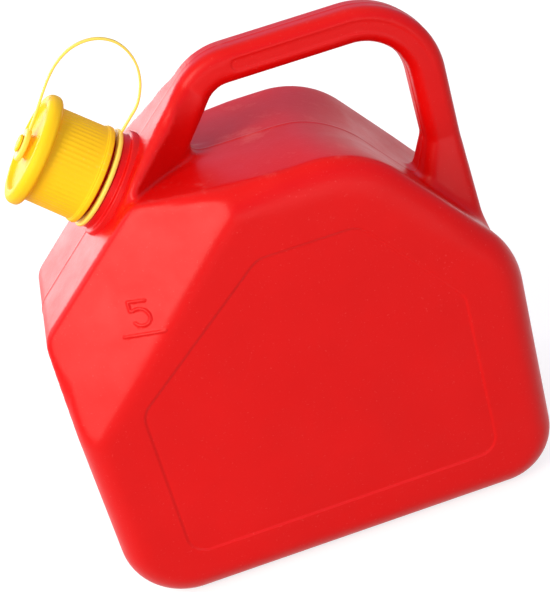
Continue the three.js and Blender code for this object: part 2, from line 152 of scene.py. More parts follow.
# Cap
CAP_LEVEL = 11.9
CAP_HEIGHT = 34.5
CAP_BORE_RADIUS = 21.8
CAP_STEP = 25.4  # the step inside that presses the seal
CROWN_LEVEL = 41.8
CROWN_THICK = 2.6
SKIRT_RADIUS = 23.5  # at the flange
SKIRT_RIM_RADIUS = 24
FLANGE_RADIUS = 27.7
FLANGE_HEIGHT = 7
RIM_BEAD = 0.9
RIM_BEAD_HEIGHT = 3.2
CAP_WALL = 1.6
RIB_COUNT = 60
RIB_DEPTH = 0.22
RIB_POWER = 0.7  # below 1 the ribs are narrower than the grooves
POST_RADIUS = 5.5
STUD_RADIUS = 3.2
STUD_HEAD_RADIUS = 4.5
STUD_HEAD_HEIGHT = 1.2

# Strap
RING_LEVEL = 7.9
RING_THICK = 2
RING_RADIUS = 25.4
RING_BORE_RADIUS = 20.45
EYE_LEVEL = 47.1
EYE_THICK = 2.4
EYE_RADIUS = 8.2
EYE_BORE_RADIUS = 3.6
STRAP_WIDTH = 2.8
STRAP_THICK = 1.1
STRAP_EDGE = 0.4
STRAP_REACH = 37.8
STRAP_CREST = 51.2
STRAP_SAG = 0.8

# Moulded relief
PANEL_DEPTH = 0.6  # the broad faces' sunk panel
PANEL_STEP = 1.5  # the width of the slant round it
SEAM_HEIGHT = 0.25  # the line where the mould's halves met
SEAM_WIDTH = 0.7
SEAM_FADE = 0.7  # how much fainter it is on the front leg
SEAM_LEG_Z = (205, 217)  # the heights over which that sets in
SEAM_LEG_X = (-12, 8)  # and the x over which it ends
MARK_HEIGHT = 0.55  # the number on the facet
MARK_STROKE = 1.25
MARK_STEP = 0.5  # the width of the slant along a stroke's edges
MARK_LEAN = 0.15  # how far the number leans back for its height
MARK_FACING = 0.98  # the least cosine at which a place counts as part of the facet
GRIP_PANEL_HALF = 2.9  # half the width of the shallow panel along the grip's sides
GRIP_PANEL_DEPTH = 0.35
GRIP_PANEL_STEP = 1  # the width of the slant round it
GRIP_PANEL_START = 12  # the x where it starts
GRIP_PANEL_END = 205  # the height on the rear leg where it has faded out
GRIP_PANEL_FACING = (0.6, 0.9)  # how squarely a place has to face sideways to be part of it

VOXEL = 1.9  # the can's mesh before its relief is cut
VOXEL_MARGIN = 2.6  # voxels that the grid reaches past the can
SNAP_ROUNDS = 2  # times that the mesh is drawn onto the exact outside
RELIEF_ROUNDS = 2  # times that the mesh is split again along the relief
RELIEF_REACH = 1  # how far from an edge of the relief it is split
SEAM_REACH = 1.2  # and from the seam's middle
STRAIGHT_CORNER = math.radians(165)  # a face with a wider angle than this is split into a fan
ARC_STEPS = 24
TURN_STEPS = 144  # points round a turned piece
CRISP_ANGLE = 38  # degrees between faces over which an edge of a turned piece or the thread is crisp
PLASTIC_SHINE = 0.21  # the level of the plastics' mirror-like shine
CAP_SHINE = 0.1  # the cap is duller

HALF_LENGTH = BODY_LENGTH / 2
HALF_WIDTH = BODY_WIDTH / 2
CAP_TOP = CAP_LEVEL + CAP_HEIGHT
EYE_TOP = EYE_LEVEL + EYE_THICK
HANDLE_TOP = SHOULDER_HEIGHT + HANDLE_HEIGHT - SEAM_HEIGHT
GRIP_Z = HANDLE_TOP - GRIP_HEIGHT / 2  # the middle of the grip
REAR_FOOT_Z = SHOULDER_HEIGHT - REAR_SHOULDER_RUN * math.tan(math.radians(REAR_SLOPE)) - EDGE_ROUND


def smooth_step(value, low, high):
    """0 below low, 1 above high, and an even ease between them."""
    share = np.clip((value - low) / (high - low), 0, 1)
    return share * share * (3 - 2 * share)


def rounded_outline(corners, steps=ARC_STEPS):
    """Points of a closed outline from corners (x, z, radius), each round drawn as an arc."""
    points = []
    for i, (x, z, radius) in enumerate(corners):
        if radius == 0:
            points.append((x, z))
            continue
        here = np.array((x, z), float)
        before = np.array(corners[i - 1][:2]) - here
        after = np.array(corners[(i + 1) % len(corners)][:2]) - here
        before /= np.linalg.norm(before)
        after /= np.linalg.norm(after)
        half = math.acos(np.dot(before, after)) / 2
        middle = (before + after) / np.linalg.norm(before + after)
        centre = here + middle * radius / math.sin(half)
        first = here + before * radius / math.tan(half) - centre
        last = here + after * radius / math.tan(half) - centre
        turn = math.atan2(first[0] * last[1] - first[1] * last[0], np.dot(first, last))
        for angle in np.linspace(0, turn, steps):
            spin = np.array([[math.cos(angle), -math.sin(angle)], [math.sin(angle), math.cos(angle)]])
            points.append(tuple(centre + spin @ first))
    return points


def line_distance(points, x, z):
    """Distance from (x, z) to an open line of points."""
    nearest = np.inf
    for (ax, az), (bx, bz) in zip(points, points[1:]):
        ex, ez = bx - ax, bz - az
        share = np.clip(((x - ax) * ex + (z - az) * ez) / (ex * ex + ez * ez), 0, 1)
        nearest = np.minimum(nearest, np.hypot(x - ax - share * ex, z - az - share * ez))
    return nearest


def soft_max(a, b, reach):
    """The larger of two distances, eased where they are closer than the reach."""
    near = np.maximum(reach - np.abs(a - b), 0)
    return np.maximum(a, b) + near * near / (4 * reach)


def soft_min(a, b, reach):
    """The smaller of two distances, eased where they are closer than the reach."""
    return -soft_max(-a, -b, reach)


def rounded_edge(a, b, radius, cosine=0.0):
    """The common part of two forms with a round edge. cosine is that of the angle between their sides."""
    a, b = a + radius, b + radius
    apart = np.sqrt(np.maximum(a * a + b * b - 2 * a * b * cosine, 0) / (1 - cosine * cosine))
    corner = (a > cosine * b) & (b > cosine * a)
    return np.where(corner, apart, np.maximum(a, b)) - radius


def oval_edge(a, b, reach_a, reach_b):
    """The common part of two forms at right angles. The round between them starts at the given depths."""
    u, v = np.maximum(a / reach_a + 1, 0), np.maximum(b / reach_b + 1, 0)
    size = np.hypot(u, v)
    apart = (size - 1) * size / np.maximum(np.hypot(u / reach_a, v / reach_b), 1e-9)
    flat = np.where(u > v, a, np.where(v > u, b, np.maximum(a, b)))
    return np.where((u > 0) & (v > 0), apart, flat)


def corner_outline(corners, x, z):
    """Distance from (x, z) to a bulging outline of corners (x, z, radius), below zero inside it."""
    outs = []
    for here, after in zip(corners, corners[1:] + corners[:1]):
        along = np.subtract(after[:2], here[:2])
        outs.append(np.array((along[1], -along[0])) / np.linalg.norm(along))
    distance = -np.inf
    for i, (corner_x, corner_z, radius) in enumerate(corners):
        before, after = (out[0] * (x - corner_x) + out[1] * (z - corner_z) for out in (outs[i - 1], outs[i]))
        distance = np.maximum(distance, rounded_edge(before, after, radius, outs[i - 1] @ outs[i]))
    return distance


def tank_corners():
    """The tank's corners seen from its broad side."""
    climb = math.tan(math.radians(SPOUT_SLOPE))
    rear_z = SHOULDER_HEIGHT - REAR_SHOULDER_RUN * math.tan(math.radians(REAR_SLOPE))
    slope_top = NECK_FOOT[0] + (SHOULDER_HEIGHT - NECK_FOOT[2]) / climb
    slope_low = NECK_FOOT[2] - (NECK_FOOT[0] + HALF_LENGTH) * climb
    return [
        (-HALF_LENGTH, 0, BASE_CORNER_ROUND), (HALF_LENGTH, 0, REAR_BASE_ROUND),
        (HALF_LENGTH, rear_z, REAR_CORNER_ROUND),
        (HALF_LENGTH - REAR_SHOULDER_RUN, SHOULDER_HEIGHT, REAR_SHOULDER_ROUND),
        (slope_top, SHOULDER_HEIGHT, EDGE_ROUND), (-HALF_LENGTH, slope_low, EDGE_ROUND),
    ]


def facet_plane():
    """The side facet's outward direction and reach, on the side where y is above zero."""
    climb = math.tan(math.radians(SPOUT_SLOPE))
    lean = math.tan(math.radians(SIDE_LEAN))
    slope_top = NECK_FOOT[0] + (SHOULDER_HEIGHT - NECK_FOOT[2]) / climb
    low = np.array((-HALF_LENGTH, HALF_WIDTH - FACET_LOW * lean, FACET_LOW))
    high = np.array((FACET_REACH - HALF_LENGTH, HALF_WIDTH - SHOULDER_HEIGHT * lean, SHOULDER_HEIGHT))
    inner = np.array((slope_top, SLOPE_TOP_WIDTH / 2, SHOULDER_HEIGHT))
    out = np.cross(high - low, inner - low)
    out *= np.sign(out[1]) / np.linalg.norm(out)
    return out, float(out @ low)


def leg_point(along, depth):
    """A place on the front leg: along its outer side from the neck's axis, and in from that side."""
    climb = math.radians(LEG_SLOPE)
    x = NECK_FOOT[0] + along * math.cos(climb) + (depth - LEG_RISE) * math.sin(climb)
    return x, NECK_FOOT[2] + along * math.sin(climb) - (depth - LEG_RISE) * math.cos(climb)


def leg_climb():
    """The length of the front leg's outer side, from the neck's axis to the bend."""
    climb = math.radians(LEG_SLOPE)
    rise = HANDLE_TOP - NECK_FOOT[2] - LEG_RISE * math.cos(climb)
    return rise / math.sin(climb) - FRONT_BEND * math.tan(climb / 2)


def rear_leg_x(z):
    """The rear leg's outer side at a height."""
    lean = (REAR_LEG_INSET - REAR_FOOT_INSET) / (HANDLE_TOP - REAR_BEND - REAR_FOOT_Z)
    return HALF_LENGTH - REAR_FOOT_INSET - lean * (z - REAR_FOOT_Z)


def line_at(first, second, z):
    """Where the line through two points reaches a height."""
    return first[0] + (second[0] - first[0]) * (z - first[1]) / (second[1] - first[1])


def handle_corners():
    """The handle's outer outline, seen from the broad side."""
    start, knee, end = leg_point(LEG_START, LEG_RISE), leg_point(LEG_KNEE, 0), leg_point(LEG_CLIMB, 0)
    return [
        (*start, 0), (rear_leg_x(REAR_FOOT_Z), REAR_FOOT_Z, 0),
        (rear_leg_x(HANDLE_TOP), HANDLE_TOP, REAR_BEND),
        (line_at(knee, end, HANDLE_TOP), HANDLE_TOP, FRONT_BEND), (*knee, LEG_KNEE_ROUND),
    ]


def hole_corners():
    """The outline of the hole under the grip. Its lower end lies inside the tank."""
    start, end = leg_point(0, LEG_FOOT_THICK), leg_point(LEG_CLIMB, LEG_TOP_THICK)
    roof = HANDLE_TOP - GRIP_HEIGHT
    return [
        (*start, 0), (rear_leg_x(REAR_FOOT_Z) - GRIP_HEIGHT, REAR_FOOT_Z, 0),
        (rear_leg_x(roof) - GRIP_HEIGHT, roof, REAR_HOLE_BEND),
        (line_at(start, end, roof), roof, FRONT_HOLE_BEND),
    ]


TANK_CORNERS = tank_corners()
FACET_OUT, FACET_AT = facet_plane()
FRONT_FACET_OUT = FACET_OUT * (1, -1, 1)
LEG_CLIMB = leg_climb()
HANDLE_CORNERS = handle_corners()
HOLE_CORNERS = hole_corners()


def tank_prism(x, y, z):
    """The tank before its facets are cut: its outline drawn across, with round edges."""
    outline = corner_outline(TANK_CORNERS, x, z)
    on_fall = smooth_step(x, *FALL_EASE_X) * smooth_step(z, *FALL_EASE_Z)
    outline = outline + FALL_DISH * on_fall * np.maximum(1 - (y / FALL_DISH_HALF) ** 2, 0) ** 1.5
    lean = math.radians(SIDE_LEAN)
    face = (np.abs(y) - HALF_WIDTH) * math.cos(lean) + z * math.sin(lean)
    on_crest = smooth_step(z, *CREST_EASE_Z) * smooth_step(x, *CREST_EASE_X)
    down = EDGE_ROUND + (CREST_DOWN - EDGE_ROUND) * on_crest
    return oval_edge(outline, face, down, EDGE_ROUND + (CREST_IN - EDGE_ROUND) * on_crest)


def tank(x, y, z):
    """The tank with a facet cut from each side of its spout end."""
    y = np.abs(y)
    prism = tank_prism(x, y, z)
    facet = FACET_OUT[0] * x + FACET_OUT[1] * y + FACET_OUT[2] * z - FACET_AT
    step = 0.5
    slope = (
        FACET_OUT[0] * (tank_prism(x + step, y, z) - tank_prism(x - step, y, z))
        + FACET_OUT[1] * (tank_prism(x, y + step, z) - tank_prism(x, y - step, z))
        + FACET_OUT[2] * (tank_prism(x, y, z + step) - tank_prism(x, y, z - step))
    ) / (2 * step)
    radius = SLOPE_EDGE_ROUND + (EDGE_ROUND - SLOPE_EDGE_ROUND) * smooth_step(y, *FACET_EASE_Y)
    return rounded_edge(prism, facet, radius, np.clip(slope, *FACET_COSINES))


def bar(x, y, z):
    """The handle's bar. Its front leg is wide on the outer side and narrow on the finger side."""
    climb = math.radians(LEG_SLOPE)
    along = (x - NECK_FOOT[0]) * math.cos(climb) + (z - NECK_FOOT[2]) * math.sin(climb)
    depth = LEG_RISE + (x - NECK_FOOT[0]) * math.sin(climb) - (z - NECK_FOOT[2]) * math.cos(climb)
    left = np.clip(1 - along / LEG_CLIMB, 0, 1.2)
    thick = LEG_TOP_THICK + (LEG_FOOT_THICK - LEG_TOP_THICK) * left
    inward = np.clip(depth / thick, 0, 1)
    widening = LEG_HALF_FOOT - GRIP_HALF_DEPTH
    spread = np.minimum(widening * left, LEG_WIDEST - GRIP_HALF_DEPTH)
    lean = spread / thick
    taper = widening / LEG_CLIMB * (1 - inward) * (left > 0)
    steep = np.sqrt(1 + lean ** 2 + taper ** 2)
    side = (np.abs(y) - GRIP_HALF_DEPTH - spread * (1 - inward)) / steep
    profile = np.maximum(corner_outline(HANDLE_CORNERS, x, z), -corner_outline(HOLE_CORNERS, x, z))
    cosine = (2 * smooth_step(inward, *FLANK_TURN) - 1) * lean / steep
    slanted = smooth_step(left, *BEVEL_ONSET) * (1 - smooth_step(inward, *BEVEL_END))
    edge = HANDLE_EDGE + (BEVEL_EDGE - HANDLE_EDGE) * slanted
    bevel = profile + side + LEG_BEVEL * slanted * np.sqrt(1 - cosine ** 2)
    solid = soft_max(rounded_edge(profile, side, edge, cosine), bevel / np.sqrt(2 + 2 * cosine), BEVEL_MELT)
    return np.maximum(solid, LEG_START - along)


def rear_flare(x, y, z):
    """The widening where the rear leg meets the tank."""
    top_z = REAR_FOOT_Z + FLARE_HEIGHT
    spread = math.atan2(FLARE_HALF_FOOT - GRIP_HALF_DEPTH, FLARE_HEIGHT)
    side = (np.abs(y) - GRIP_HALF_DEPTH) * math.cos(spread) + (z - top_z) * math.sin(spread)
    reach = math.atan2(FLARE_TOE, FLARE_HEIGHT)
    toe = (rear_leg_x(top_z) - GRIP_HEIGHT - x) * math.cos(reach) + (z - top_z) * math.sin(reach)
    flare = rounded_edge(np.maximum(x - rear_leg_x(z), toe), side, HANDLE_EDGE)
    return np.maximum(np.maximum(flare, z - top_z - GRIP_HALF_DEPTH), REAR_FOOT_Z - z)


def neck_base(x, y, z):
    """The round step under the neck, just inside its turned piece, and how far uphill each place is."""
    tilt = math.radians(NECK_TILT)
    uphill = (x - NECK_FOOT[0]) * math.cos(tilt) + (z - NECK_FOOT[2]) * math.sin(tilt)
    height = (z - NECK_FOOT[2]) * math.cos(tilt) - (x - NECK_FOOT[0]) * math.sin(tilt)
    step = np.maximum(np.hypot(uphill, y) - SEAT_RADIUS, height - SEAT_HEIGHT) + NECK_INSET
    return np.maximum(step, -NECK_SUNK - height), uphill


def can_field(x, y, z):
    """Distance to the can's outside, below zero inside it."""
    melt = LEG_CORNER + (LEG_CREASE - LEG_CORNER) * smooth_step(np.abs(y), *LEG_CORNER_Y)
    melt = LEG_CREASE + (melt - LEG_CREASE) * smooth_step(x, *LEG_CORNER_X)
    handle = np.minimum(bar(x, y, z), rear_flare(x, y, z))
    field = soft_min(tank(x, y, z), handle, np.where(x < FLARE_FROM, melt, FLARE_MELT))
    base, uphill = neck_base(x, y, z)
    field = soft_min(field, base, NECK_CREASE + NECK_MELT * smooth_step(uphill, *NECK_MELT_UPHILL))
    return np.maximum(field, np.abs(x) - HALF_LENGTH)


def field_slope(points, step=0.4):
    """The direction in which the distance to the can grows, at each point."""
    slope = np.empty_like(points)
    for axis in range(3):
        ahead, behind = points.copy(), points.copy()
        ahead[:, axis] += step
        behind[:, axis] -= step
        slope[:, axis] = can_field(*ahead.T) - can_field(*behind.T)
    return slope / np.maximum(np.linalg.norm(slope, axis=1, keepdims=True), 1e-6)


def onto_surface(points):
    """The points drawn onto the can's outside."""
    return points - field_slope(points) * can_field(*points.T)[:, None]


def can_surface():
    """Points and faces of the can's outside, before its relief."""
    margin = VOXEL_MARGIN * VOXEL
    low = np.array((-HALF_LENGTH, -HALF_WIDTH, 0)) - margin
    high = np.array((HALF_LENGTH, HALF_WIDTH, SHOULDER_HEIGHT + HANDLE_HEIGHT)) + margin
    axes = [np.arange(a, b, VOXEL, dtype=np.float32) for a, b in zip(low, high)]
    grid = openvdb.FloatGrid(VOXEL * 10)
    grid.copyFromArray(can_field(*np.ix_(*axes)).astype(np.float32))
    points, quads = grid.convertToQuads(0.0)
    points = points.astype(float) * VOXEL + low
    for _ in range(SNAP_ROUNDS):
        points = onto_surface(points)
    return points, quads


PANEL_CORNERS = [
    (-81.5, 27, 10), (82.5, 27, 10), (82.5, 118, 10), (40.5, 170.5, 12), (-9, 170.5, 12), (-81.5, 112, 12),
]


def grip_panel_line():
    """The middle of the panel along the grip's side: along the grip, round its rear bend and down the leg."""
    radius = (REAR_BEND + REAR_HOLE_BEND) / 2
    bend_x = rear_leg_x(GRIP_Z) - GRIP_HEIGHT / 2 - radius
    turns = np.linspace(math.pi / 2, 0, ARC_STEPS)
    bend = [(bend_x + radius * math.cos(turn), GRIP_Z - radius + radius * math.sin(turn)) for turn in turns]
    past_end = 8
    end_z = GRIP_PANEL_END - past_end
    return [(GRIP_PANEL_START, GRIP_Z), *bend, (rear_leg_x(end_z) - GRIP_HEIGHT / 2, end_z)]


GRIP_PANEL_LINE = grip_panel_line()


def facet_axes():
    """A corner of the front facet, and its level and upward directions."""
    level = np.cross((0, 0, 1), FRONT_FACET_OUT)
    level *= np.sign(level[0]) / np.linalg.norm(level)
    lean = math.tan(math.radians(SIDE_LEAN))
    corner = np.array((-HALF_LENGTH, FACET_LOW * lean - HALF_WIDTH, FACET_LOW))
    upward = np.cross(level, FRONT_FACET_OUT)
    return corner, level, upward * np.sign(upward[2])


def mark_lines():
    """The strokes of the plain number 5 over a bar, level and up from the facet's corner."""
    left, right, foot, head = 37, 46.5, 66, 77.6
    bowl = 4
    centre = foot + bowl
    turns = np.linspace(math.radians(128), math.radians(-140), ARC_STEPS)
    digit = [(right - 1, head), (left, head), (left, centre + 0.8 * bowl)]
    digit += [(left + 4.2 + 1.15 * bowl * math.cos(t), centre + bowl * math.sin(t)) for t in turns]
    leaning = [(level - MARK_LEAN * (up - foot), up) for level, up in digit]
    bar_under = [(31, 61.6), (52, 62.2)]
    return [leaning, bar_under]


def slant(depth, width):
    """0 outside a form and 1 inside it, with a slant of the given width across its edge."""
    return smooth_step(depth, -width / 2, width / 2)


def relief_height(points, out):
    """How far the moulded relief stands out from the can, at points with the given outward directions."""
    x, y, z = points.T
    on_leg = smooth_step(z, *SEAM_LEG_Z) * (1 - smooth_step(x, *SEAM_LEG_X))
    height = SEAM_HEIGHT * (1 - SEAM_FADE * on_leg) * np.exp(-((y / SEAM_WIDTH) ** 2))
    on_face = np.abs(y) > HALF_WIDTH - EDGE_ROUND / 2
    height -= PANEL_DEPTH * slant(-corner_outline(PANEL_CORNERS, x, z), PANEL_STEP) * on_face
    on_grip = smooth_step(np.abs(out[:, 1]), *GRIP_PANEL_FACING) * (z > SHOULDER_HEIGHT - EDGE_ROUND)
    from_line = line_distance(GRIP_PANEL_LINE, x, z)
    fading = smooth_step(z, GRIP_PANEL_END, GRIP_Z)
    height -= GRIP_PANEL_DEPTH * slant(GRIP_PANEL_HALF - from_line, GRIP_PANEL_STEP) * on_grip * fading
    corner, level, upward = facet_axes()
    on_facet = out @ FRONT_FACET_OUT > MARK_FACING
    for line in mark_lines():
        from_stroke = line_distance(line, (points - corner) @ level, (points - corner) @ upward)
        height += MARK_HEIGHT * slant(MARK_STROKE / 2 - from_stroke, MARK_STEP) * on_facet
    return height


def relief_near(points):
    """Which points lie close to a step of the relief."""
    x, y, z = points.T
    near = np.abs(y) < SEAM_REACH
    on_face = np.abs(y) > HALF_WIDTH - EDGE_ROUND
    near |= on_face & (np.abs(corner_outline(PANEL_CORNERS, x, z)) < PANEL_STEP)
    on_grip = np.abs(np.abs(y) - GRIP_HALF_DEPTH) < 2 * RELIEF_REACH
    on_grip &= z > SHOULDER_HEIGHT - EDGE_ROUND
    near |= on_grip & (np.abs(line_distance(GRIP_PANEL_LINE, x, z) - GRIP_PANEL_HALF) < RELIEF_REACH)
    corner, level, upward = facet_axes()
    on_facet = np.abs((points - corner) @ FRONT_FACET_OUT) < RELIEF_REACH
    for line in mark_lines():
        from_stroke = line_distance(line, (points - corner) @ level, (points - corner) @ upward)
        near |= on_facet & (from_stroke < MARK_STROKE / 2 + RELIEF_REACH)
    return near


def split_near_relief(points, quads):
    """The same surface with smaller faces along the relief. A face with a straight corner becomes a fan."""
    made = bmesh.new()
    corners = [made.verts.new(p) for p in points]
    for quad in quads:
        made.faces.new([corners[i] for i in quad])
    for _ in range(RELIEF_ROUNDS):
        centres = np.array([f.calc_center_median() for f in made.faces])
        chosen = relief_near(centres)
        edges = {e for f, take in zip(made.faces, chosen) if take for e in f.edges}
        bmesh.ops.subdivide_edges(made, edges=list(edges), cuts=1, use_grid_fill=True)
    straight = [f for f in made.faces if max(loop.calc_angle() for loop in f.loops) > STRAIGHT_CORNER]
    bmesh.ops.poke(made, faces=straight)
    made.verts.index_update()
    points = np.array([v.co for v in made.verts])
    faces = [[v.index for v in f.verts] for f in made.faces]
    made.free()
    return points, faces


def mesh_object(name, points, faces, sharp=None):
    """A new smooth object from points in millimetres, with edges over the sharp angle left crisp."""
    mesh = bpy.data.meshes.new(name)
    mesh.from_pydata([tuple(p) for p in np.asarray(points, float) * MM], [], [tuple(f) for f in faces])
    mesh.validate()
    mesh.update()
    mesh.polygons.foreach_set("use_smooth", [True] * len(mesh.polygons))
    if sharp:
        mesh.set_sharp_from_angle(angle=math.radians(sharp))
    made = bpy.data.objects.new(name, mesh)
    bpy.context.scene.collection.objects.link(made)
    return made


def neck_axes():
    """Uphill, across and outward along the neck's axis, as rows."""
    tilt = math.radians(NECK_TILT)
    return np.array([
        (math.cos(tilt), 0, math.sin(tilt)), (0, 1, 0), (-math.sin(tilt), 0, math.cos(tilt)),
    ])


def neck_local(points):
    """Points of the frame as uphill, across and height on the neck's axis."""
    return (points - np.array(NECK_FOOT)) @ neck_axes().T


def neck_world(points):
    """Points on the neck's axis in the frame."""
    return np.asarray(points, float) @ neck_axes() + np.array(NECK_FOOT)


def can_shell():
    """The can's outside with its relief, open under the neck."""
    points, quads = split_near_relief(*can_surface())
    points = onto_surface(points)
    out = field_slope(points)
    points += out * relief_height(points, out)[:, None]
    low, high = (np.array(corner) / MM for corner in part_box("can_body"))
    points = np.clip(points, low, high)
    local = neck_local(points)
    open_mouth = (np.hypot(local[:, 0], local[:, 1]) < NECK_BORE / 2 + 1) & (np.abs(local[:, 2]) < NECK_SUNK)
    faces = [q for q in quads if not all(open_mouth[i] for i in q)]
    used = np.unique(np.concatenate([np.asarray(f) for f in faces]))
    place = np.full(len(points), -1)
    place[used] = np.arange(len(used))
    return mesh_object("can_shell", points[used], [[place[i] for i in f] for f in faces])


def turned(name, outline, steps=TURN_STEPS, ribs=None):
    """A closed outline of (radius, height) turned about the neck's axis. ribs gives how deep the ribs
    are cut at each point of the outline."""
    outline = np.asarray(outline, float)
    angles = np.linspace(0, 2 * math.pi, steps, endpoint=False)
    rings = []
    for i, (radius, height) in enumerate(outline):
        depth = 0 if ribs is None else ribs[i]
        round_at = radius - depth * (0.5 - 0.5 * np.cos(RIB_COUNT * angles)) ** RIB_POWER
        rings.append(np.stack([round_at * np.cos(angles), round_at * np.sin(angles),
                               np.full(steps, height)], axis=1))
    faces = []
    for i in range(len(rings)):
        here, there = i * steps, (i + 1) % len(rings) * steps
        for k in range(steps):
            after = (k + 1) % steps
            faces.append((here + k, here + after, there + after, there + k))
    return mesh_object(name, neck_world(np.concatenate(rings)), faces, CRISP_ANGLE)


def swept(name, points, count, sharp=None):
    """A solid from equal rings of points, closed at both ends."""
    size = len(points) // count
    faces = [tuple(range(size)), tuple(range(len(points) - size, len(points)))[::-1]]
    for i in range(count - 1):
        for k in range(size):
            after = (k + 1) % size
            here, there = i * size, (i + 1) * size
            faces.append((here + k, there + k, there + after, here + after))
    return mesh_object(name, points, faces, sharp)


def neck_tube():
    """The neck: its two steps, the bead over the strap's ring, and the rim."""
    inner = NECK_BORE / 2
    bead = NECK_RADIUS + BEAD_HEIGHT
    return turned("neck_tube", rounded_outline([
        (inner, -NECK_SUNK, 0), (COLLAR_RADIUS + 0.8, -NECK_SUNK, 0), (COLLAR_RADIUS, COLLAR_HEIGHT, 0.9),
        (SEAT_RADIUS, COLLAR_HEIGHT, 0.8), (SEAT_RADIUS - 0.1, SEAT_HEIGHT, 0.6),
        (NECK_RADIUS, SEAT_HEIGHT, 0.3), (NECK_RADIUS, BEAD_LEVEL, 0.2),
        (bead, BEAD_LEVEL + BEAD_WIDTH / 3, 0.2), (NECK_RADIUS, BEAD_LEVEL + BEAD_WIDTH, 0.2),
        (NECK_RADIUS, NECK_HEIGHT, 0.5), (inner, NECK_HEIGHT, 0.5),
    ], 6))


def neck_thread():
    """The ridge that the cap screws on, easing out of the neck at both ends."""
    steps = int(THREAD_TURNS * THREAD_STEPS)
    root = NECK_RADIUS - 0.3
    half = THREAD_WIDTH / 2
    rings = []
    for i in range(steps + 1):
        angle = 2 * math.pi * THREAD_TURNS * i / steps
        height = NECK_HEIGHT - THREAD_WIDTH - THREAD_PITCH * THREAD_TURNS * (1 - i / steps)
        fade = min(1, i / THREAD_FADE_STEPS, (steps - i) / THREAD_FADE_STEPS)
        tip = NECK_RADIUS + THREAD_DEPTH * (THREAD_LEAST + (1 - THREAD_LEAST) * fade)
        section = [(root, -half), (tip - 0.2, -0.45 * half), (tip, -0.2 * half), (tip, 0.2 * half),
                   (tip - 0.2, 0.45 * half), (root, half)]
        rings.append([(r * math.cos(angle), r * math.sin(angle), height + h) for r, h in section])
    return swept("neck_thread", neck_world(np.concatenate(rings)), len(rings), CRISP_ANGLE)


def skirt_line():
    """The ribbed part of the cap's skirt, as radius and height, from its rim up to the flange."""
    bead_top, flange_low = CAP_LEVEL + RIM_BEAD_HEIGHT, CAP_TOP - FLANGE_HEIGHT
    heights = np.linspace(bead_top + 0.8, flange_low - 0.8, 8)
    return list(zip(np.interp(heights, (bead_top, flange_low), (SKIRT_RIM_RADIUS, SKIRT_RADIUS)), heights))


def cap_outline():
    """The cap's section: skirt, flange, crown and stud. The third value is the round at each corner."""
    rim = SKIRT_RIM_RADIUS + RIM_BEAD
    bead_top = CAP_LEVEL + RIM_BEAD_HEIGHT
    flange_low = CAP_TOP - FLANGE_HEIGHT
    dish = SKIRT_RADIUS - 2 * CAP_WALL
    crown = CROWN_LEVEL + CROWN_THICK
    head = EYE_TOP + 0.3
    axis = 0.02
    return [
        (axis, CROWN_LEVEL, 0), (NECK_BORE / 2, CROWN_LEVEL, 0.5), (NECK_BORE / 2, CAP_STEP, 0.4),
        (CAP_BORE_RADIUS, CAP_STEP, 0.4), (CAP_BORE_RADIUS, CAP_LEVEL, 0.3),
        (rim, CAP_LEVEL, 0.8), (rim, bead_top, 1.1), (SKIRT_RIM_RADIUS, bead_top, 0.5),
        *[(radius, height, 0) for radius, height in skirt_line()],
        (SKIRT_RADIUS, flange_low, 0.5), (FLANGE_RADIUS, flange_low, 2.4), (FLANGE_RADIUS, CAP_TOP, 3.4),
        (dish + 1.9, CAP_TOP, 1.8), (dish + 0.5, crown, 1), (POST_RADIUS + 0.5, crown, 1.2),
        (POST_RADIUS, EYE_LEVEL - 0.3, 0.4), (STUD_RADIUS, EYE_LEVEL - 0.3, 0.1), (STUD_RADIUS, head, 0.1),
        (STUD_HEAD_RADIUS, head, 0.3), (STUD_HEAD_RADIUS - 0.3, head + STUD_HEAD_HEIGHT, 0.8),
        (axis, head + STUD_HEAD_HEIGHT, 0),
    ]


def screw_cap():
    """The cap, with its ribs cut between the rim's bead and the flange."""
    outline = rounded_outline(cap_outline(), 7)
    ribbed = set(skirt_line()[1:-1])
    return turned("cap", outline, RIB_COUNT * 10, [RIB_DEPTH * (point in ribbed) for point in outline])


def strap_line():
    """The strap's middle, as distance from the neck's axis and height: out from the ring, round the
    loop and over the cap's flange to the eye. The ends reach into the ring and the eye."""
    ring_z = RING_LEVEL + RING_THICK / 2
    eye_z = EYE_LEVEL + EYE_THICK / 2
    far = RING_RADIUS + STRAP_REACH
    rise = STRAP_CREST - ring_z
    return [
        (RING_RADIUS - 1, ring_z), (RING_RADIUS + 7.3, ring_z - 0.6 * STRAP_SAG),
        (RING_RADIUS + 14.3, ring_z - STRAP_SAG), (far - 17.7, ring_z + 0.01 * rise),
        (far - 10.8, ring_z + 0.085 * rise), (far - 4.9, ring_z + 0.205 * rise),
        (far - 1.2, ring_z + 0.36 * rise), (far, ring_z + 0.52 * rise),
        (far - 1.8, ring_z + 0.69 * rise), (far - 6.2, ring_z + 0.83 * rise),
        (far - 12.7, ring_z + 0.935 * rise), (far - 20.7, ring_z + 0.99 * rise),
        (FLANGE_RADIUS + 7.8, STRAP_CREST), (FLANGE_RADIUS, STRAP_CREST - 0.6),
        (FLANGE_RADIUS - FLANGE_HEIGHT, STRAP_CREST - 1.5), (EYE_RADIUS + 5.3, eye_z + 0.5),
        (EYE_RADIUS - 1, eye_z),
    ]


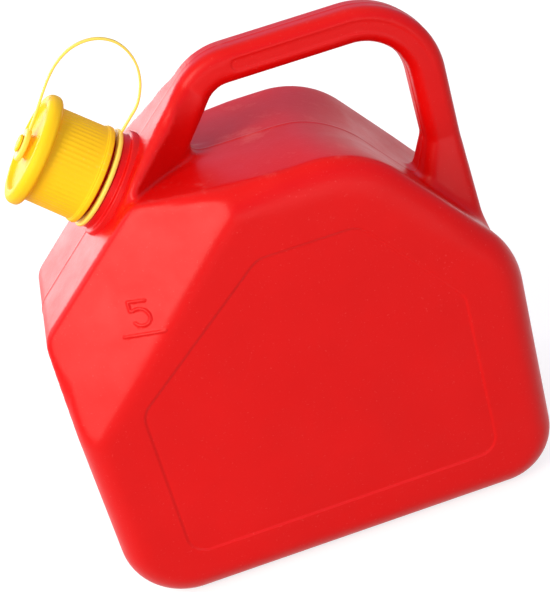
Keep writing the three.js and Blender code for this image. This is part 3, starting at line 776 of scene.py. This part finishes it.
def smooth_line(points, steps):
    """Points of an even curve through the given ones."""
    points = np.asarray(points, float)
    points = np.concatenate([[2 * points[0] - points[1]], points, [2 * points[-1] - points[-2]]])
    curve = []
    for i in range(1, len(points) - 2):
        p0, p1, p2, p3 = points[i - 1:i + 3]
        t1 = np.linalg.norm(p1 - p0) ** 0.5
        t2 = t1 + np.linalg.norm(p2 - p1) ** 0.5
        t3 = t2 + np.linalg.norm(p3 - p2) ** 0.5
        for t in np.linspace(t1, t2, steps, endpoint=False):
            a1 = p0 * (t1 - t) / t1 + p1 * t / t1
            a2 = p1 * (t2 - t) / (t2 - t1) + p2 * (t - t1) / (t2 - t1)
            a3 = p2 * (t3 - t) / (t3 - t2) + p3 * (t - t2) / (t3 - t2)
            b1 = a1 * (t2 - t) / t2 + a2 * t / t2
            b2 = a2 * (t3 - t) / (t3 - t1) + a3 * (t - t1) / (t3 - t1)
            curve.append(b1 * (t2 - t) / (t2 - t1) + b2 * (t - t1) / (t2 - t1))
    return np.array(curve + [points[-2]])


def tether_strap():
    """The flat strap, with its edges eased."""
    line = smooth_line(strap_line(), 12)
    along = np.gradient(line, axis=0)
    along /= np.linalg.norm(along, axis=1, keepdims=True)
    thick, wide = STRAP_THICK / 2, STRAP_WIDTH / 2
    section = rounded_outline([
        (thick, -wide, STRAP_EDGE), (thick, wide, STRAP_EDGE),
        (-thick, wide, STRAP_EDGE), (-thick, -wide, STRAP_EDGE),
    ], 4)
    rings = [[(r - dz * o, c, z + dr * o) for o, c in section] for (r, z), (dr, dz) in zip(line, along)]
    return swept("strap_band", neck_world(np.concatenate(rings)), len(rings), sharp=50)


def tether_ring():
    """The ring that turns on the neck's seat."""
    low, high = RING_LEVEL, RING_LEVEL + RING_THICK
    return turned("strap_ring", rounded_outline([
        (RING_BORE_RADIUS, low, 0.4), (RING_RADIUS, low, 0.7), (RING_RADIUS, high, 0.7),
        (RING_BORE_RADIUS, high, 0.4),
    ], 5))


def tether_eye():
    """The strap's eye, round the cap's stud."""
    return turned("strap_eye", rounded_outline([
        (EYE_BORE_RADIUS, EYE_LEVEL, 0.3), (EYE_RADIUS, EYE_LEVEL, 0.7), (EYE_RADIUS, EYE_TOP, 0.8),
        (EYE_BORE_RADIUS, EYE_TOP, 0.4),
    ], 5), 72)


def node(tree, kind, inputs=None, **settings):
    """A new shader node with its settings and socket values. A linked socket is given as another socket."""
    made = tree.nodes.new(kind)
    for name, value in settings.items():
        setattr(made, name, value)
    for name, value in (inputs or {}).items():
        if isinstance(value, bpy.types.NodeSocket):
            tree.links.new(value, made.inputs[name])
        else:
            made.inputs[name].default_value = value
    return made


def noise(tree, place, **settings):
    """A socket with noise over the surface."""
    return node(tree, "ShaderNodeTexNoise", {"Vector": place, **settings}).outputs["Fac"]


def ramp(tree, factor, low, high, low_colour, high_colour):
    """A colour that goes from one value to another between two places of the factor."""
    made = node(tree, "ShaderNodeValToRGB", {"Fac": factor})
    stops = made.color_ramp.elements
    stops[0].position, stops[0].color = low, (*low_colour, 1)
    stops[1].position, stops[1].color = high, (*high_colour, 1)
    return made.outputs["Color"]


def mapped(tree, value, low, high, least, most):
    """A socket that goes from least to most while the value goes from low to high. most may be a socket."""
    inputs = {"Value": value, "From Min": low, "From Max": high, "To Min": least, "To Max": most}
    return node(tree, "ShaderNodeMapRange", inputs).outputs["Result"]


def joined(tree, operation, first, second):
    """A socket with the outcome of one operation on two others."""
    return node(tree, "ShaderNodeMath", {0: first, 1: second}, operation=operation).outputs["Value"]


def moulded_plastic(name, colour, deep, pale, roughness, scuffs, grain, shine=PLASTIC_SHINE):
    """Satin moulded plastic: a slow drift of its colour, paler edges that are partly rubbed wear and partly a
    painted highlight, fine specks and grain, and scuffs on the sides that face up."""
    made = bpy.data.materials.new(name)
    made.use_nodes = True
    tree = made.node_tree
    shader = tree.nodes["Principled BSDF"]
    shader.inputs["Specular IOR Level"].default_value = shine
    place = node(tree, "ShaderNodeTexCoord").outputs["Object"]
    surface = node(tree, "ShaderNodeNewGeometry").outputs
    upward = node(tree, "ShaderNodeSeparateXYZ", {"Vector": surface["Normal"]}).outputs["Z"]
    drift = noise(tree, place, Scale=26, Detail=4, Roughness=0.55)
    fleck = noise(tree, place, Scale=900, Detail=2)
    scuff = noise(tree, place, Scale=42, Detail=9, Roughness=0.72)

    specks = mapped(tree, fleck, 0.66, 0.76, 0.0, 0.15)
    patches = mapped(tree, scuff, 0.55, 0.72, 0.0, mapped(tree, upward, 0.75, 0.95, 0.0, scuffs))
    # pale colour on convex edges: partly rubbed wear, partly a painted highlight where the rounded edges
    # catch the light
    edge_wear_and_sheen = mapped(tree, surface["Pointiness"], 0.52, 0.62, 0.0, 0.12)
    pale_share = joined(tree, "MAXIMUM", joined(tree, "MAXIMUM", patches, edge_wear_and_sheen), specks)
    mixed = node(tree, "ShaderNodeMix", {"Factor": pale_share}, data_type="RGBA")
    tree.links.new(ramp(tree, drift, 0.3, 0.7, deep, colour), mixed.inputs["A"])
    mixed.inputs["B"].default_value = (*pale, 1)
    tree.links.new(mixed.outputs["Result"], shader.inputs["Base Color"])

    gloss = mapped(tree, scuff, 0.3, 0.75, roughness - 0.05, roughness + 0.09)
    tree.links.new(gloss, shader.inputs["Roughness"])
    fine = node(tree, "ShaderNodeBump", {"Height": fleck, "Strength": grain, "Distance": 0.0002})
    wavy = node(tree, "ShaderNodeBump", {"Height": drift, "Strength": 0.12, "Distance": 0.001,
                                         "Normal": fine.outputs["Normal"]})
    tree.links.new(wavy.outputs["Normal"], shader.inputs["Normal"])
    return made


def wear(piece, material, body):
    """Gives a piece its material, and the body that it goes with."""
    piece.data.materials.clear()
    piece.data.materials.append(material)
    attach(piece, body)
    return piece


red = moulded_plastic(
    "red_plastic", colour=(0.7, 0.002, 0.0015), deep=(0.66, 0.0015, 0.001), pale=(0.85, 0.2, 0.18),
    roughness=0.35, scuffs=0.4, grain=0.2)
yellow = moulded_plastic(
    "yellow_plastic", colour=(1.0, 0.62, 0.012), deep=(0.94, 0.55, 0.01), pale=(1.0, 0.8, 0.3),
    roughness=0.45, scuffs=0.2, grain=0.2, shine=CAP_SHINE)
strap_yellow = moulded_plastic(
    "strap_plastic", colour=(0.98, 0.74, 0.12), deep=(0.95, 0.68, 0.09), pale=(1.0, 0.85, 0.4),
    roughness=0.38, scuffs=0.15, grain=0.15)
rubber = moulded_plastic(
    "seal_rubber", colour=(0.03, 0.03, 0.032), deep=(0.02, 0.02, 0.022), pale=(0.09, 0.09, 0.09),
    roughness=0.7, scuffs=0.3, grain=0.4)

shell = wear(can_shell(), red, "can")
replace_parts(shell, "can_body")
wear(neck_tube(), red, "can")
wear(neck_thread(), red, "can")
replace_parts(wear(screw_cap(), yellow, "cap"), "screw_cap")
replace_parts(wear(tether_ring(), strap_yellow, "neck_ring"), "tether_ring")
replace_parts(wear(tether_eye(), strap_yellow, "strap"), "tether_eye")

strap = tether_strap()
strap.data.materials.append(strap_yellow)
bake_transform(strap)
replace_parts(strap, "tether_strap")

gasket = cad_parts["cap_gasket"]
gasket.data.materials.clear()
gasket.data.materials.append(rubber)


def camera():
    """The photograph's view: its place, the tilt of its picture, and its focal length."""
    place = Vector((-0.0496, -0.5992, 0.4342))
    right = Vector((0.94684, -0.20842, -0.24506))
    upward = Vector((0.31338, 0.42538, 0.84903))
    back = right.cross(upward)
    focal_pixels, picture_height = 1309, 592
    made = bpy.data.objects.new("camera", bpy.data.cameras.new("camera"))
    made.data.lens = made.data.sensor_width * focal_pixels / picture_height
    made.data.clip_start = 0.01
    turn = Matrix((right, upward, back)).transposed().to_4x4()
    made.matrix_world = Matrix.Translation(place) @ turn
    bpy.context.scene.collection.objects.link(made)
    bpy.context.scene.camera = made


def floor():
    """A pale floor, which looks white and keeps the can's shadow."""
    half = 6
    corners = [(-half, -half, 0), (half, -half, 0), (half, half, 0), (-half, half, 0)]
    mesh = bpy.data.meshes.new("floor")
    mesh.from_pydata(corners, [], [(0, 1, 2, 3)])
    made = bpy.data.objects.new("floor", mesh)
    bpy.context.scene.collection.objects.link(made)
    pale = bpy.data.materials.new("floor_pale")
    pale.use_nodes = True
    tree = pale.node_tree
    tree.nodes.clear()
    matt = node(tree, "ShaderNodeBsdfDiffuse", {"Color": (0.38, 0.38, 0.38, 1)})
    path = node(tree, "ShaderNodeLightPath").outputs
    seen = joined(tree, "ADD", path["Is Camera Ray"], path["Is Glossy Ray"])
    seen = joined(tree, "ADD", seen, path["Is Transmission Ray"])
    glow = node(tree, "ShaderNodeEmission", {"Color": (0.74, 0.74, 0.74, 1), "Strength": seen})
    both = node(tree, "ShaderNodeAddShader")
    tree.links.new(matt.outputs["BSDF"], both.inputs[0])
    tree.links.new(glow.outputs["Emission"], both.inputs[1])
    end = node(tree, "ShaderNodeOutputMaterial")
    tree.links.new(both.outputs["Shader"], end.inputs["Surface"])
    made.data.materials.append(pale)


def sky():
    """Soft light from all round: grey at the horizon, bluish part of the way up, and pale overhead."""
    world = bpy.data.worlds.new("studio")
    world.use_nodes = True
    tree = world.node_tree
    way = node(tree, "ShaderNodeTexCoord").outputs["Generated"]
    height = node(tree, "ShaderNodeSeparateXYZ", {"Vector": way}).outputs["Z"]
    shade = node(tree, "ShaderNodeValToRGB", {"Fac": height})
    stops = shade.color_ramp.elements
    stops[0].position, stops[0].color = 0.0, (0.5, 0.5, 0.5, 1)
    stops[1].position, stops[1].color = 0.8, (0.7, 0.7, 0.7, 1)
    stops.new(0.24).color = (0.55, 0.55, 0.75, 1)
    stops.new(0.4).color = (0.45, 0.45, 0.85, 1)
    stops.new(0.6).color = (0.6, 0.6, 0.7, 1)
    tree.links.new(shade.outputs["Color"], tree.nodes["Background"].inputs["Color"])
    bpy.context.scene.world = world


def softbox(name, way, distance, wide, tall, radiance, colour=(1, 1, 1), target=(-0.02, 0, 0.15)):
    """A flat lamp that shines on the can from the given direction."""
    light = bpy.data.lights.new(name, "AREA")
    light.shape = "RECTANGLE"
    light.size = wide
    light.size_y = tall
    light.color = colour
    light.energy = radiance * math.pi * wide * tall
    made = bpy.data.objects.new(name, light)
    aim = Vector(way).normalized()
    made.location = Vector(target) + aim * distance
    made.rotation_euler = aim.to_track_quat("Z", "Y").to_euler()
    made.visible_camera = False
    bpy.context.scene.collection.objects.link(made)


camera()
floor()
sky()
softbox("key", way=(-0.6, -0.62, 0.5), distance=1.3, wide=0.48, tall=1.15, radiance=8.4,
        colour=(1.0, 0.92, 0.78))
softbox("left", way=(-0.85, 0.24, 0.46), distance=1.3, wide=0.7, tall=0.7, radiance=2.2)
softbox("back", way=(-0.42, 0.91, 0.1), distance=1.4, wide=0.8, tall=0.5, radiance=3.7)
softbox("front", way=(0.23, -0.97, 0.01), distance=1.5, wide=1.2, tall=0.33, radiance=2.4)
bpy.context.scene.view_settings.view_transform = "Standard"
